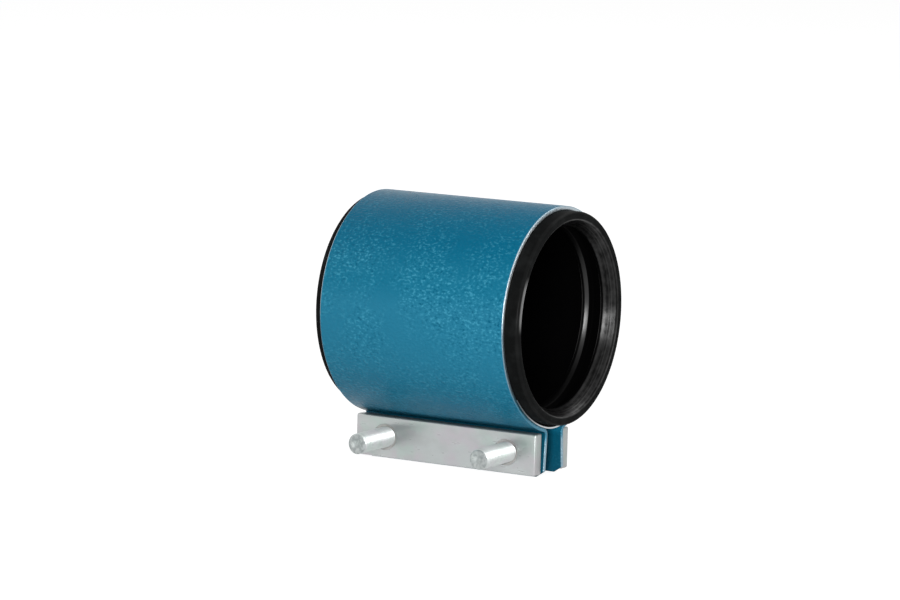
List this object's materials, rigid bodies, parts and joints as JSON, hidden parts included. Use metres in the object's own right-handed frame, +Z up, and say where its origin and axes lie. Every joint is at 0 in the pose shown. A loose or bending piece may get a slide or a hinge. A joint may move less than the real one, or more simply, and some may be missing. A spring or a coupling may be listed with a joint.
{
  "type": "hose connector",
  "caption": "Bolted sleeve coupling for plain tube ends: a steel band rolled round a rubber sleeve and drawn together by cross screws through flat bars.",
  "frame": {"origin": "on the bore axis, in the middle of the steel band's width", "axes": "+X along the bore, +Z up with the band's gap and ears straight down, -Y towards the screw tips"},
  "size_m": [0.111, 0.106, 0.1289],
  "materials": {
    "painted_band": "blue hammered paint, semi-gloss",
    "sleeve_rubber": "satin black rubber",
    "bright_sheet": "plain bright sheet",
    "zinc_bar": "bright zinc plate, glossy",
    "zinc_fastener": "bright zinc plate"
  },
  "bodies": {
    "connector": {"band": "painted_band", "sleeve": "sleeve_rubber", "bridge_plate": "bright_sheet", "front_bar": "zinc_bar", "rear_bar": "zinc_bar"},
    "left_washer": {"washer_left": "zinc_fastener"},
    "left_screw": {"screw_left": "zinc_fastener"},
    "right_washer": {"washer_right": "zinc_fastener"},
    "right_screw": {"screw_right": "zinc_fastener"}
  },
  "joints": [
    {"name": "screw_left_travel", "type": "slide", "parent": "connector", "child": "left_washer", "axis": [0, 1, 0], "range_m": [0, 0.0315]},
    {"name": "screw_left_turn", "type": "hinge", "parent": "left_washer", "child": "left_screw", "pos_m": [-0.0345, 0, -0.0645], "axis": [0, 1, 0], "range_deg": [0, 7560]},
    {"name": "screw_right_travel", "type": "slide", "parent": "connector", "child": "right_washer", "axis": [0, 1, 0], "range_m": [0, 0.0315]},
    {"name": "screw_right_turn", "type": "hinge", "parent": "right_washer", "child": "right_screw", "pos_m": [0.0325, 0, -0.0645], "axis": [0, 1, 0], "range_deg": [0, 7560]}
  ],
  "couplings": [
    {"joint": "screw_left_turn", "follows": "screw_left_travel", "rad_per_m": 4188.8},
    {"joint": "screw_right_turn", "follows": "screw_right_travel", "rad_per_m": 4188.8}
  ]
}
